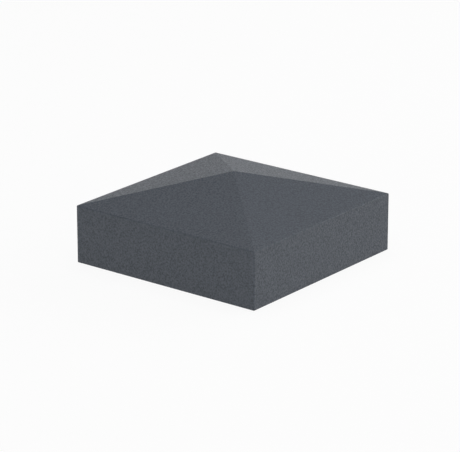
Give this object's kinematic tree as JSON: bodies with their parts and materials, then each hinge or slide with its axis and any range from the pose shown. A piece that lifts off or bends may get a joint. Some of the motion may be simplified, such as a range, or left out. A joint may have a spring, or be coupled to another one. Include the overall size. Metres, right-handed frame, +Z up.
{
  "type": "post cap",
  "caption": "Cap for a square post: a low pyramid roof of flat slopes on an upright square skirt, cast in one piece and open underneath as a socket for the post.",
  "frame": {"origin": "centre of the open square mouth, in the plane of the rim that the cap stands on", "axes": "+Z up through the tip of the roof; X and Y square to the skirt's sides"},
  "size_m": [0.095, 0.095, 0.0382],
  "materials": {
    "post_cap": "matt dark grey polyester powder coat with a fine texture, over cast aluminium"
  },
  "bodies": {
    "root": {"post_cap": "post_cap"}
  },
  "joints": []
}
